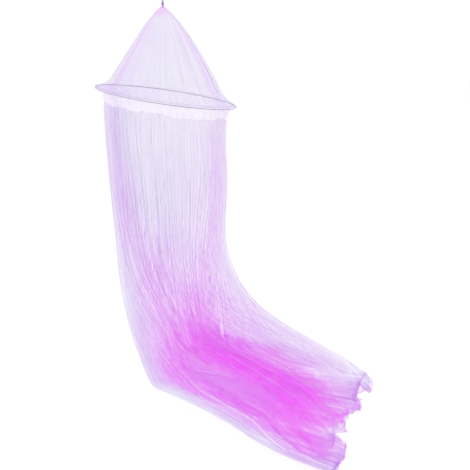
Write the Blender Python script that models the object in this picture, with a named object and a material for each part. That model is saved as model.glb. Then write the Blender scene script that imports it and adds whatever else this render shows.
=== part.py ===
"""Mosquito net canopy: a cone of net on a round wire hoop, a white frill under the hoop and a long
net skirt whose train lies on the floor to one side.

Frame: metres, +Z up. The origin is the inside top of the hanging loop, where a hook carries it.
+X is the side to which the train is drawn, and -Y is the front. The floor is HANG_HEIGHT below.
"""

import math

import bmesh
import bpy
import numpy as np
from mathutils import Matrix

# ---- Driving sizes ---------------------------------------------------------------------------
HANG_HEIGHT = 1.750  # floor to the inside top of the loop
HOOP_HEIGHT = 1.305  # floor to the hoop's centre
HOOP_RADIUS = 0.2975  # to the middle of the wire
WIRE_RADIUS = 0.0025
HOOP_DIP_RIGHT = math.radians(8.6)  # the train's weight pulls the hoop down on this side
HOOP_DIP_FRONT = math.radians(2.5)
GAP = 0.0004  # between pieces that touch
CLOTH_THICK = 0.0012  # the walls of the skirt, the roof and the frill

CORD_RADIUS = 0.0012
LOOP_WIDTH = 0.018  # between the middles of the cord's two legs
LOOP_HEIGHT = 0.060
LOOP_OPEN = math.radians(160)  # how far round from the top each leg runs, to the knot
LEG_PINCH = 0.3  # how the legs close in below
LOOP_STEPS = 26
LOOP_SIDES = 8
STEM_RADIUS = 0.0017  # the two legs laid together, down through the roof's neck
STEM_SIDES = 12
# A knot, from the stem out to its end: the way along the stem, and the radius.
KNOT = (
    (0.0000, STEM_RADIUS), (0.0008, 0.0027), (0.0032, 0.0036), (0.0058, 0.0027), (0.0068, 0.0008),
)
KNOT_OVER = 0.0008  # clear of the neck above
KNOT_UNDER = 0.0015  # and below the roof's apex
NECK_WALL = 0.0012  # the net bunched round the cord
NECK_TOP = -0.0615
THREAD_RADIUS = 0.0009
THREAD_SIDES = 14
# One turn of thread, in its own radii: out from the bore, and up from its middle.
THREAD_SHAPE = ((0.6, 0.85), (1.7, 0.0), (0.6, -0.85))
WHIPPING_TURNS = 8

FLOOR = -HANG_HEIGHT
HOOP_ASIDE = 0.008  # the train draws the hoop a little that way
HOOP_CENTRE = np.array([HOOP_ASIDE, 0.0, FLOOR + HOOP_HEIGHT])
APEX = -0.078  # the foot of the neck, where the roof spreads
TRAIN_TURN = math.radians(-25.0)  # the way the train is drawn, from +X towards the front

# The roof from the neck to the hoop: share of the way down, radius, and depth of the soft folds.
ROOF = (
    (0.00, 0.0045, 0.00), (0.02, 0.0130, 0.00), (0.08, 0.0360, 0.03), (0.18, 0.0700, 0.05),
    (0.32, 0.1080, 0.06), (0.48, 0.1470, 0.06), (0.64, 0.1850, 0.055), (0.78, 0.2170, 0.05),
    (0.88, 0.2380, 0.04), (0.95, 0.2630, 0.02), (1.00, 0.2962, 0.00),
)
ROOF_FOLDS = 13
ROOF_WANDER = ((3, 0.11, 5.21), (5, 0.07, 0.43))  # waves: how many, how high, where each begins
ROOF_SWELL = ((2, 0.30, 1.0),)  # how the folds' depth changes round the roof
ROOF_SIDES = 52
HOOP_SECTIONS = 56
HOOP_SIDES = 8

# The frill from the hoop down: drop, radius, and how far its waves stand out.
FRILL = (
    (0.0032, 0.2978, 0.000), (0.012, 0.2835, 0.001), (0.028, 0.2765, 0.0025), (0.046, 0.2735, 0.0045),
)
FRILL_WAVES = 33
FRILL_WANDER = ((5, 0.06, 4.71), (9, 0.04, 5.71))
FRILL_SWELL = ((7, 0.25, 0.6),)
FRILL_RAGGED = ((6, 0.0030, 0.4), (11, 0.0018, 2.0), (19, 0.0012, 0.0))  # its lower edge's unevenness
FRILL_SIDES = 99

# ---- The skirt's sections, from the hoop to the hem --------------------------------------------
# Each section is a closed curve in a plane through an outer and an inner point of the bend.
# along: metres from the hoop's axis the way the train goes; height: above the floor;
# near, far: half widths towards the front and the back, across the train; waist: where on the
# way from the outer to the inner point it is widest; core: where on that way the folds meet;
# core_wide, core_deep: half sizes of the oval they reach; reach: how far they go towards it, as a
# share; gather: 0 folds all round, 1 in bunches between smooth lobes; twist: degrees the cloth has
# turned about the core; level: 1 tilted as the hoop.
SECTION_COLUMNS = (
    "outer_along outer_height inner_along inner_height near far "
    "waist core core_wide core_deep reach gather twist level".split()
)
SECTIONS = (
    (-0.2944, 1.3045, 0.2944, 1.3045, 0.2944, 0.2944, 0.50, 0.50, 0.030, 0.030, 0.02, 0.0, 0, 1.0),
    (-0.274, 1.290, 0.273, 1.290, 0.273, 0.273, 0.50, 0.50, 0.030, 0.030, 0.04, 0.0, 0, 1.0),
    (-0.264, 1.262, 0.261, 1.262, 0.263, 0.262, 0.50, 0.50, 0.030, 0.030, 0.06, 0.0, 0, 1.0),
    (-0.264, 1.150, 0.252, 1.150, 0.259, 0.257, 0.50, 0.50, 0.030, 0.030, 0.12, 0.1, 0, 0.8),
    (-0.257, 0.950, 0.258, 0.950, 0.255, 0.253, 0.50, 0.50, 0.030, 0.030, 0.20, 0.2, -2, 0.4),
    (-0.246, 0.730, 0.252, 0.765, 0.244, 0.240, 0.50, 0.50, 0.030, 0.030, 0.32, 0.4, -5, 0.1),
    (-0.246, 0.560, 0.266, 0.650, 0.236, 0.238, 0.50, 0.50, 0.030, 0.030, 0.50, 0.6, -9, 0.0),
    (-0.232, 0.360, 0.305, 0.540, 0.220, 0.244, 0.50, 0.48, 0.030, 0.030, 0.72, 0.8, -15, 0.0),
    (-0.184, 0.170, 0.380, 0.448, 0.195, 0.256, 0.48, 0.47, 0.030, 0.030, 0.88, 0.9, -22, 0.0),
    (-0.121, 0.010, 0.475, 0.388, 0.165, 0.268, 0.42, 0.46, 0.032, 0.030, 0.95, 1.0, -28, 0.0),
    (-0.044, -0.030, 0.570, 0.340, 0.165, 0.285, 0.34, 0.45, 0.036, 0.030, 0.97, 1.0, -33, 0.0),
    (0.080, -0.035, 0.668, 0.296, 0.215, 0.305, 0.26, 0.45, 0.040, 0.030, 0.97, 1.0, -36, 0.0),
    (0.230, -0.035, 0.745, 0.260, 0.295, 0.325, 0.22, 0.45, 0.045, 0.028, 0.97, 1.0, -38, 0.0),
    (0.390, -0.030, 0.810, 0.224, 0.380, 0.340, 0.20, 0.44, 0.050, 0.026, 0.97, 1.0, -40, 0.0),
    (0.530, -0.025, 0.862, 0.184, 0.455, 0.360, 0.20, 0.44, 0.058, 0.022, 0.96, 0.9, -40, 0.0),
    (0.680, -0.018, 0.905, 0.144, 0.500, 0.380, 0.22, 0.44, 0.075, 0.020, 0.92, 0.7, -40, 0.0),
    (0.850, -0.010, 0.910, 0.116, 0.510, 0.395, 0.26, 0.44, 0.100, 0.018, 0.86, 0.6, -40, 0.0),
)
# Where each ring of points lies, counted in sections.
SKIRT_RINGS = (0, 1, 2, 3, 4, 5, 6, 7, 7.8, 8.5, 9.2, 9.9, 10.6, 11.3, 12, 12.8, 13.6, 14.4, 15.2, 16)

PLEATS = 24
# One pleat from crest to crest: share of its width, and 0 at the crest to 1 at the bottom of the fold.
PLEAT_SHAPE = ((0.00, 0.00), (0.22, 0.05), (0.42, 1.00), (0.57, 1.00), (0.78, 0.06))
# The pleats aren't alike: each one's depth, how far in its crest lies and the shift of its edge.
PLEAT_DEPTHS = (1.00, 0.90, 0.96, 0.84, 0.99, 0.92, 0.97, 0.86, 1.00, 0.94, 0.88, 0.98)
PLEAT_CRESTS = (0.50, 0.30, 0.58, 0.22, 0.44, 0.60, 0.34, 0.52, 0.26)
PLEAT_SHIFTS = (0.00, 0.16, -0.10, 0.07, 0.20, -0.14, 0.04, -0.18, 0.11, -0.06, 0.17, -0.08)
# The folds lie in bunches between a few wide smooth lobes.
BUNCHES = 4
BUNCH_TURN = math.radians(6.0)
BUNCH_PULL = 0.68  # how much closer together the folds of a bunch are
LOBE_FOLD = 0.10  # how deep a fold on a lobe is, next to one in a bunch
# The hem's lobes: metres across the train, and how far the hem goes beyond its section there.
HEM_LOBES = (
    (-0.52, 0.010), (-0.42, 0.075), (-0.32, 0.020), (-0.24, -0.050), (-0.17, -0.010), (-0.11, -0.030),
    (-0.03, -0.100), (0.05, -0.060), (0.12, -0.015), (0.19, -0.070), (0.24, -0.075), (0.30, -0.005),
    (0.36, 0.010),
)
HEM_ROWS = 3.0  # how many sections the lobes take to die out


def to_world(along, across, height):
    """A place by the train's own directions, as a point of the frame."""
    x = HOOP_ASIDE + along * math.cos(TRAIN_TURN) - across * math.sin(TRAIN_TURN)
    y = along * math.sin(TRAIN_TURN) + across * math.cos(TRAIN_TURN)
    return np.stack([x, y, height + FLOOR + np.zeros_like(x)], axis=-1)


def waves(turn, table):
    """The sum of a few waves round the axis, from a table of how many, how high and where each begins."""
    return sum(high * np.cos(count * turn + begin) for count, high, begin in table)


def smooth_rows(table, at):
    """The table's columns at a row number that may lie between rows, on a smooth curve."""
    rows = np.asarray(table, float)
    last = len(rows) - 1
    low = min(int(at), last - 1)
    part = at - low
    before, start, end, after = (rows[min(max(low + k, 0), last)] for k in (-1, 0, 1, 2))
    lead, trail = (end - before) / 2, (after - start) / 2
    square, cube = part**2, part**3
    return (
        start * (2 * cube - 3 * square + 1)
        + lead * (cube - 2 * square + part)
        + end * (3 * square - 2 * cube)
        + trail * (cube - square)
    )


def dipped(points, centre, share):
    """The points turned about a centre by a share of the hoop's dip."""
    turn = Matrix.Rotation(HOOP_DIP_RIGHT * share, 3, "Y")
    turn = turn @ Matrix.Rotation(HOOP_DIP_FRONT * share, 3, "X")
    return (points - centre) @ np.array(turn).T + centre


def pleat_curve():
    """Round the skirt: the turn of each point, its fold's depth, its crest and its place in the fold."""
    edges = np.arange(PLEATS + 1, dtype=float)
    edges[:-1] += [PLEAT_SHIFTS[i % len(PLEAT_SHIFTS)] for i in range(PLEATS)]
    edges[-1] = edges[0] + PLEATS
    points = []
    for pleat in range(PLEATS):
        depth = PLEAT_DEPTHS[(5 * pleat) % len(PLEAT_DEPTHS)]
        crest, next_crest = (PLEAT_CRESTS[(2 * k) % len(PLEAT_CRESTS)] for k in (pleat, pleat + 1))
        if pleat == PLEATS - 1:
            next_crest = PLEAT_CRESTS[0]
        for place, fold in PLEAT_SHAPE:
            turn = edges[pleat] + place * (edges[pleat + 1] - edges[pleat])
            points.append((turn / PLEATS, depth, crest if place < 0.5 else next_crest, fold))
    return np.array(points).T


def inset(curve, thick):
    """A closed curve moved inwards by the wall's thickness, mitred at its corners."""
    edge = np.roll(curve, -1, axis=0) - curve
    normal = np.stack([-edge[:, 1], edge[:, 0]], axis=1)
    normal /= np.linalg.norm(normal, axis=1, keepdims=True)
    before = np.roll(normal, 1, axis=0)
    spread = 1 + np.sum(normal * before, axis=1, keepdims=True)
    return curve + thick * (normal + before) / np.maximum(spread, 0.9)


def section_curve(row):
    """The section's curve in its own plane: across the train, and on the way outer to inner."""
    length = math.hypot(
        row["inner_along"] - row["outer_along"], row["inner_height"] - row["outer_height"]
    )
    turns, depth, crest, fold = pleat_curve()
    even = 2 * math.pi * turns
    lobing = BUNCHES * (even - BUNCH_TURN)
    even = even + math.radians(row["twist"])
    angle = even + row["gather"] * BUNCH_PULL / BUNCHES * np.sin(lobing)
    bunch = 1 - row["gather"] * ((1 + np.cos(lobing)) / 2) ** 3
    across = np.cos(angle) * np.where(np.cos(angle) > 0, row["far"], row["near"])
    deep = np.sin(angle) * np.where(np.sin(angle) > 0, 1 - row["waist"], row["waist"]) * length
    deep = deep + row["waist"] * length
    rise = (row["inner_height"] - row["outer_height"]) / length
    if row["outer_height"] < 0:
        deep = np.maximum(deep, -row["outer_height"] / rise)
    core_across = row["core_wide"] * np.cos(even)
    core_deep = row["core"] * length + row["core_deep"] * np.sin(even)
    high = crest * bunch * row["gather"]
    share = row["reach"] * (high + fold * (depth * (LOBE_FOLD + (1 - LOBE_FOLD) * bunch) - high))
    return np.stack(
        [across + share * (core_across - across), deep + share * (core_deep - deep)], axis=1
    )


def skirt_ring(at):
    """The outer and inner closed curves of the skirt's section at a row number, as points."""
    row = dict(zip(SECTION_COLUMNS, smooth_rows(SECTIONS, at)))
    start = np.array([row["outer_along"], row["outer_height"]])
    way = np.array([row["inner_along"], row["inner_height"]]) - start
    centre = start + way / 2
    way = way / np.linalg.norm(way)
    curve = section_curve(row)
    fade = max(0.0, 1 - (len(SECTIONS) - 1 - at) / HEM_ROWS)
    lobes = np.array(HEM_LOBES)
    rings = []
    for flat in (curve, inset(curve, CLOTH_THICK)):
        lobe = fade**2 * np.interp(flat[:, 0], lobes[:, 0], lobes[:, 1])
        points = to_world(start[0] + flat[:, 1] * way[0] + lobe, flat[:, 0], start[1] + flat[:, 1] * way[1])
        rings.append(dipped(points, to_world(centre[0], 0.0, centre[1]), row["level"]))
    return rings


def solid_from(name, points, faces):
    """A mesh object with its faces pointing out."""
    mesh = bpy.data.meshes.new(name)
    mesh.from_pydata([tuple(map(float, p)) for p in points], [], faces)
    shaped = bmesh.new()
    shaped.from_mesh(mesh)
    if shaped.calc_volume(signed=True) < 0:
        bmesh.ops.reverse_faces(shaped, faces=shaped.faces)
    shaped.to_mesh(mesh)
    shaped.free()
    made = bpy.data.objects.new(name, mesh)
    bpy.context.scene.collection.objects.link(made)
    return made


def ring_solid(name, rings, capped=False, inward=None):
    """A closed solid from rings of points: a tube with flat ends, or the last joined to the first.

    Rings that run down an outside and back up an inside have their quads cut along the same
    diagonals on both, and so have the two sides of a fold: inward says, for each point, whether the
    next one lies deeper. That keeps thin walls and narrow gaps even.
    """
    count = len(rings[0])
    inward = np.ones(count, bool) if inward is None else inward
    faces = []
    for ring in range(len(rings) - 1 if capped else len(rings)):
        low, high = ring * count, (ring + 1) % len(rings) * count
        for i in range(count):
            j = (i + 1) % count
            corners = (low + i, low + j, high + j, high + i)
            if inward[i] == (ring < len(rings) // 2):
                faces += [corners[:3], corners[2:] + corners[:1]]
            else:
                faces += [corners[1:], corners[3:] + corners[:2]]
    if capped:
        faces.append(tuple(range(count))[::-1])
        faces.append(tuple(range((len(rings) - 1) * count, len(rings) * count)))
    return solid_from(name, np.concatenate(rings), faces)


def circle(radius, height, sides):
    """A level ring of points about the Z axis."""
    turn = 2 * math.pi * np.arange(sides) / sides
    return np.stack([radius * np.cos(turn), radius * np.sin(turn), height + 0 * turn], axis=1)


def loop_place(turn):
    """The middle of the loop's cord at a turn from its top."""
    pinch = math.cos(turn / 2) ** LEG_PINCH
    fall = LOOP_HEIGHT * (1 - math.cos(turn)) / 2
    return np.array([LOOP_WIDTH / 2 * math.sin(turn) * pinch, 0, CORD_RADIUS - fall])


def make_loop():
    """The hanging loop: a cord bent to a narrow loop, its legs laid together and knotted."""
    rings = []
    for step in range(LOOP_STEPS + 1):
        turn = LOOP_OPEN * (2 * step / LOOP_STEPS - 1)
        before, here, after = (loop_place(turn + step_on) for step_on in (-0.01, 0.0, 0.01))
        way = after - before
        side = np.array([way[2], 0, -way[0]]) / np.linalg.norm(way)
        round_cord = 2 * math.pi * np.arange(LOOP_SIDES) / LOOP_SIDES
        across = np.outer(np.cos(round_cord), side)
        across[:, 1] = np.sin(round_cord)
        rings.append(here + CORD_RADIUS * across)
    cord = ring_solid("hanging_loop", rings, capped=True)
    profile = [(radius, NECK_TOP + KNOT_OVER + way) for way, radius in KNOT[::-1]]
    profile += [(radius, APEX - KNOT_UNDER - way) for way, radius in KNOT]
    stem = ring_solid("stem", [circle(r, z, STEM_SIDES) for r, z in profile], capped=True)
    joined = cord.modifiers.new("join", "BOOLEAN")
    joined.operation, joined.solver, joined.object = "UNION", "EXACT", stem
    stem.hide_render = True
    stem.display_type = "WIRE"
    return cord


def make_whipping():
    """Turns of thread, side by side, that bind the roof's neck to the cord."""
    bore = STEM_RADIUS + GAP + NECK_WALL + GAP
    top = (NECK_TOP + APEX) / 2 + WHIPPING_TURNS * THREAD_RADIUS
    outer = []
    for turn in range(WHIPPING_TURNS):
        middle = top - (2 * turn + 1) * THREAD_RADIUS
        outer += [(bore + out * THREAD_RADIUS, middle + up * THREAD_RADIUS) for out, up in THREAD_SHAPE]
    profile = outer + [(bore, outer[-1][1]), (bore, outer[0][1])]
    rings = [circle(radius, height, THREAD_SIDES) for radius, height in profile]
    return ring_solid("whipping", rings)


def roof_folds(turn):
    """How far in the roof lies round the axis, from 0 on a ridge to 1 in a soft fold."""
    wander = turn + waves(turn, ROOF_WANDER)
    return (1 - np.cos(ROOF_FOLDS * wander)) / 2 * (0.70 + waves(turn, ROOF_SWELL))


def make_roof():
    """The roof: net bunched in a neck, spread to a soft cone and flared over the hoop."""
    turn = 2 * math.pi * np.arange(ROOF_SIDES) / ROOF_SIDES
    hem = HOOP_CENTRE[2] + WIRE_RADIUS + GAP + CLOTH_THICK
    neck = STEM_RADIUS + GAP + NECK_WALL
    profile = [(neck, NECK_TOP, 0.0, 0.0), (neck, APEX + 0.0005, 0.0, 0.0)]
    profile += [(radius, APEX + share * (hem - APEX), fold, share) for share, radius, fold in ROOF]
    profile = np.array(profile)
    slope = np.gradient(profile[:, :2], axis=0)
    slope /= np.linalg.norm(slope, axis=1, keepdims=True)
    inner = profile.copy()
    inner[:, 0] += CLOTH_THICK * slope[:, 1]
    inner[:, 1] -= CLOTH_THICK * slope[:, 0]
    inner[:2, 0], inner[0, 1] = STEM_RADIUS + GAP, profile[0, 1]
    rings = []
    for radius, height, fold, share in np.concatenate([profile, inner[::-1]]):
        ring = circle(1.0, 0.0, ROOF_SIDES) * (radius * (1 - fold * roof_folds(turn)))[:, None]
        ring += np.array([share * HOOP_ASIDE, 0, height])
        rings.append(dipped(ring, np.array([share * HOOP_ASIDE, 0, height]), share**2))
    return ring_solid("roof_net", rings)


def make_hoop():
    """The hoop: one ring of wire, dipped to the side of the train."""
    rings = []
    for step in range(HOOP_SECTIONS):
        turn = 2 * math.pi * step / HOOP_SECTIONS
        ring = circle(WIRE_RADIUS, 0.0, HOOP_SIDES)
        out = HOOP_RADIUS + ring[:, 0]
        ring = np.stack([out * math.cos(turn), out * math.sin(turn), ring[:, 1]], axis=1)
        rings.append(dipped(ring + HOOP_CENTRE, HOOP_CENTRE, 1.0))
    return ring_solid("hoop", rings)


def make_frill():
    """The frill under the hoop: a short waved band with a ragged lower edge."""
    turn = 2 * math.pi * np.arange(FRILL_SIDES) / FRILL_SIDES
    wander = turn + waves(turn, FRILL_WANDER)
    wave = np.cos(FRILL_WAVES * wander) * (0.75 + waves(turn, FRILL_SWELL))
    ragged = waves(turn, FRILL_RAGGED)
    rings = []
    for side in (0.0, 1.0):
        face = []
        for drop, radius, stand in FRILL:
            share = (drop - FRILL[0][0]) / (FRILL[-1][0] - FRILL[0][0])
            out = radius + stand * wave - side * CLOTH_THICK
            ring = circle(1.0, 0.0, FRILL_SIDES) * out[:, None]
            ring[:, 2] = -drop - share**2 * ragged
            face.append(dipped(ring + HOOP_CENTRE, HOOP_CENTRE, 1.0))
        rings += face if side == 0.0 else face[::-1]
    return ring_solid("frill", rings)


def make_skirt():
    """The net skirt: pleated at the hoop, drawn together at the bend and spread as a train."""
    pairs = [skirt_ring(at) for at in SKIRT_RINGS]
    depth = np.tile([fold for _, fold in PLEAT_SHAPE], PLEATS)
    inward = np.roll(depth, -1) > depth
    return ring_solid("skirt", [p[0] for p in pairs] + [p[1] for p in pairs[::-1]], inward=inward)


def give_material(piece, name, colour, rough, metal=0.0):
    """Gives a piece its own plain material, and smooth shading."""
    material = bpy.data.materials.new(name)
    material.use_nodes = True
    surface = material.node_tree.nodes["Principled BSDF"]
    surface.inputs["Base Color"].default_value = (*colour, 1.0)
    surface.inputs["Roughness"].default_value = rough
    surface.inputs["Metallic"].default_value = metal
    material.diffuse_color = (*colour, 1.0)
    piece.data.materials.append(material)
    for polygon in piece.data.polygons:
        polygon.use_smooth = True


def main():
    for old in list(bpy.data.objects):
        bpy.data.objects.remove(old)
    give_material(make_loop(), "mauve_cord", (0.50, 0.36, 0.56), 0.7)
    give_material(make_whipping(), "mauve_thread", (0.46, 0.32, 0.52), 0.6)
    give_material(make_roof(), "lilac_net", (0.80, 0.74, 0.90), 0.8)
    give_material(make_hoop(), "coated_wire", (0.42, 0.36, 0.48), 0.35, 0.3)
    give_material(make_frill(), "white_lace", (0.88, 0.87, 0.92), 0.8)
    give_material(make_skirt(), "pink_net", (0.80, 0.45, 0.85), 0.8)


main()
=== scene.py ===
# %% [markdown]
# # A mosquito net canopy, piece by piece
#
# A canopy like this one hangs from a single hook. A cone of fine net is bunched and bound at the
# top, a wire hoop holds the net open, a lace frill hides the join, and a long net skirt falls to
# the floor, where it is drawn to one side as a train.
#
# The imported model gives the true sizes. This script dresses it: each cloth is worked out as one
# open sheet with numpy, and each finish is built from shader nodes.

# %% Load the frame
import math

import bmesh
import bpy
import numpy as np
from mathutils import Matrix, Vector


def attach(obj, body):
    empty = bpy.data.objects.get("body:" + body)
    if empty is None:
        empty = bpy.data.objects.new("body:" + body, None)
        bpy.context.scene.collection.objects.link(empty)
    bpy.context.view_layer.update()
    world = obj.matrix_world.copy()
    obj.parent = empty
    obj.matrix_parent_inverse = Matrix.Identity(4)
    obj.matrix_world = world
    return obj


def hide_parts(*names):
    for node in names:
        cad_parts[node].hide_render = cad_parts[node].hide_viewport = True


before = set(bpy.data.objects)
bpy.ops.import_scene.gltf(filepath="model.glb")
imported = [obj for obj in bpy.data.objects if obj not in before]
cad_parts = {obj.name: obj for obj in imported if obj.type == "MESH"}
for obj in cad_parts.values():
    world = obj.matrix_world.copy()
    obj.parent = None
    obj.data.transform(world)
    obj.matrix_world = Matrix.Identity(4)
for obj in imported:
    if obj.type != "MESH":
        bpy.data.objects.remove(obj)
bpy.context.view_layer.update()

print("nodes:", ", ".join(sorted(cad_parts)))

# %% [markdown]
# ## Camera, floor and light
#
# The origin is the inside top of the hanging loop, so the floor lies 1.75 m below it. The camera
# stands 3.2 m in front of the hoop and looks down a little. The net is nearly all air, so what
# shows is mostly what is behind it: a white world and a white floor, with broad soft lamps that
# leave only a faint shadow where the train lies.

# %% Set up the camera
FLOOR = -1.750
CAMERA_PLACE = (0.297, -3.2, -0.30)
CAMERA_DOWN = math.radians(13.1)
LENS_MM = 57.2  # on a 36 mm wide sensor

camera_data = bpy.data.cameras.new("camera")
camera_data.lens = LENS_MM
camera_data.sensor_width = 36.0
camera = bpy.data.objects.new("camera", camera_data)
camera.location = CAMERA_PLACE
camera.rotation_euler = (math.pi / 2 - CAMERA_DOWN, 0, 0)
scene = bpy.context.scene
scene.collection.objects.link(camera)
scene.camera = camera
scene.view_settings.view_transform = "Standard"
scene.cycles.transparent_max_bounces = 96  # a ray may pass through many layers of net
print("camera looks down", round(math.degrees(CAMERA_DOWN), 1), "degrees")

# %% Lay the floor and light the room
FLOOR_REACH = 60.0
FLOOR_UNDER = 0.0008  # how far the drawn floor lies under the height that the cloth rests on
CORNERS = ((-1, -1), (1, -1), (1, 1), (-1, 1))

floor_mesh = bpy.data.meshes.new("floor")
corners = [(x * FLOOR_REACH, y * FLOOR_REACH, FLOOR - FLOOR_UNDER) for x, y in CORNERS]
floor_mesh.from_pydata(corners, [], [(0, 1, 2, 3)])
floor = bpy.data.objects.new("floor", floor_mesh)
scene.collection.objects.link(floor)
floor_paint = bpy.data.materials.new("pale_floor")
floor_paint.use_nodes = True
floor_surface = floor_paint.node_tree.nodes["Principled BSDF"]
floor_surface.inputs["Base Color"].default_value = (0.99, 0.99, 0.99, 1)
floor_surface.inputs["Roughness"].default_value = 0.9
floor_surface.inputs["Specular IOR Level"].default_value = 0.1
floor_mesh.materials.append(floor_paint)

world = bpy.data.worlds.new("studio")
world.use_nodes = True
world.node_tree.nodes["Background"].inputs["Color"].default_value = (1.0, 1.0, 1.0, 1)
world.node_tree.nodes["Background"].inputs["Strength"].default_value = 1.02
scene.world = world


def add_lamp(name, place, target, size, watts):
    """A square area lamp at a place, turned so that its -Z axis points at the target."""
    data = bpy.data.lights.new(name, "AREA")
    data.size, data.energy = size, watts
    lamp = bpy.data.objects.new(name, data)
    lamp.location = place
    lamp.rotation_euler = (Vector(target) - Vector(place)).to_track_quat("-Z", "Y").to_euler()
    scene.collection.objects.link(lamp)


MIDDLE = (0.30, -0.20, -0.90)
add_lamp("key", (-2.2, -2.6, 1.6), MIDDLE, 2.4, 15)
add_lamp("fill", (2.8, -2.2, 0.4), MIDDLE, 2.4, 6)
add_lamp("back", (0.4, 3.0, 1.4), MIDDLE, 2.4, 6)

# %% [markdown]
# ## From a grid of points to a piece
#
# Every new surface here is a function of two numbers: how far round, and how far down. Numpy works
# out all the points at once as an array of rows and columns, and one helper turns such a grid into
# a mesh. The mesh carries a UV map in metres of flat cloth, so that a weave keeps its real size
# however the cloth is folded, and it can carry values for each point, such as how much of the
# light the cloth stops there.

# %% The grid helper
def grid_piece(name, points, flat, **values):
    """A mesh object from points[row, column], whose last column joins the first.

    Face (row, column) has the corners (row, column), (row + 1, column), (row + 1, column + 1) and
    (row, column + 1). With columns running anticlockwise seen from above and rows running down,
    its normal points outwards. flat is the (u, v) of each point, with one column more than points,
    and each of values is a number for each point, kept as an attribute of that name.
    """
    rows, columns = points.shape[:2]
    row, column = np.meshgrid(np.arange(rows - 1), np.arange(columns), indexing="ij")
    after = (column + 1) % columns
    corner = np.stack([(row, column), (row + 1, column), (row + 1, after), (row, after)])
    faces = (corner[:, 0] * columns + corner[:, 1]).transpose(1, 2, 0).reshape(-1, 4)
    mesh = bpy.data.meshes.new(name)
    mesh.vertices.add(rows * columns)
    mesh.vertices.foreach_set("co", points.reshape(-1).astype(np.float32))
    mesh.loops.add(faces.size)
    mesh.loops.foreach_set("vertex_index", faces.reshape(-1).astype(np.int32))
    mesh.polygons.add(len(faces))
    mesh.polygons.foreach_set("loop_start", np.arange(0, faces.size, 4, dtype=np.int32))
    mesh.polygons.foreach_set("use_smooth", np.ones(len(faces), bool))
    mesh.update(calc_edges=True)
    wide = np.stack([(row, column), (row + 1, column), (row + 1, column + 1), (row, column + 1)])
    uv = flat[wide[:, 0], wide[:, 1]].transpose(1, 2, 0, 3)
    mesh.uv_layers.new(name="cloth").data.foreach_set("uv", uv.reshape(-1).astype(np.float32))
    for label, value in values.items():
        every = np.broadcast_to(value, (rows, columns)).reshape(-1).astype(np.float32)
        mesh.attributes.new(label, "FLOAT", "POINT").data.foreach_set("value", every)
    piece = bpy.data.objects.new(name, mesh)
    scene.collection.objects.link(piece)
    return piece


def flat_cloth(width, columns, heights):
    """The (u, v) of a grid's points on the flat cloth: even steps of its width, and each row's height."""
    return np.stack(np.meshgrid(width * np.arange(columns + 1) / columns, heights), axis=2)


def area_of(points):
    """The area of a closed grid: half the cross product of the diagonals, summed over its faces."""
    across = np.roll(points, -1, axis=1)
    one = across[1:] - points[:-1]
    two = points[1:] - across[:-1]
    return float(np.linalg.norm(np.cross(one, two), axis=2).sum() / 2)


def turns(count):
    """The angles of a number of points spread evenly round a circle."""
    return 2 * math.pi * np.arange(count) / count


def waves(turn, table):
    """The sum of cosines round the axis, from a table of how many, how high and where each begins."""
    return sum(high * np.cos(count * turn + begin) for count, high, begin in table)


def smooth_rows(table, at):
    """The table's columns at row numbers that may lie between rows, on smooth cubic curves."""
    rows = np.asarray(table, float)
    last = len(rows) - 1
    low = np.minimum(np.asarray(at).astype(int), last - 1)
    part = (at - low)[:, None]
    before, start, end, after = (rows[np.clip(low + k, 0, last)] for k in (-1, 0, 1, 2))
    lead, trail = (end - before) / 2, (after - start) / 2
    square, cube = part**2, part**3
    return (
        start * (2 * cube - 3 * square + 1) + lead * (cube - 2 * square + part)
        + end * (3 * square - 2 * cube) + trail * (cube - square)
    )


def rounded(low, high, value):
    """0 below low, 1 above high, and a smooth step between them."""
    share = np.clip((value - low) / (high - low), 0, 1)
    return share * share * (3 - 2 * share)


def bell(value, middle, half):
    """A bell curve: 1 at the middle, and about a third at half a width from it."""
    return np.exp(-(((value - middle) / half) ** 2))


HOOP_ASIDE = 0.008  # how far to the right of the hanging loop the hoop hangs
HOOP_HEIGHT = 1.305  # over the floor
HOOP_CENTRE = np.array([HOOP_ASIDE, 0.0, FLOOR + HOOP_HEIGHT])
HOOP_DIP_RIGHT = math.radians(8.6)  # it hangs lower on its right
HOOP_DIP_FRONT = math.radians(2.5)  # and in front


def dipped(points, centre, share):
    """The points turned about a centre by a share of the hoop's dip.

    The full turn is a matrix, a small turn about Y after a small turn about X. As both are small,
    a share of the turn is a share of the move that the full turn makes.
    """
    turn = Matrix.Rotation(HOOP_DIP_RIGHT, 3, "Y") @ Matrix.Rotation(HOOP_DIP_FRONT, 3, "X")
    arm = points - centre
    return points + share * (arm @ np.array(turn).T - arm)


print("helpers ready; the hoop's centre is", HOOP_CENTRE.round(3).tolist())

# %% [markdown]
# ## The skirt: one tube of net, drawn aside
#
# The skirt is one piece of net, much wider than the hoop, gathered into it. It falls straight,
# then bends and runs along the floor. It is smooth on the outside and on the inside of the bend,
# and in front and behind its folds lie in two bunches, whose bottoms meet in a core down the
# middle of the train. A cloth simulation of such thin, wide net would be slow and hard to steer,
# so the shape is worked out from cross-sections: a short table says how wide and deep the tube is
# at each of them, how far its folds reach towards the core, and how much they are bunched.

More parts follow.
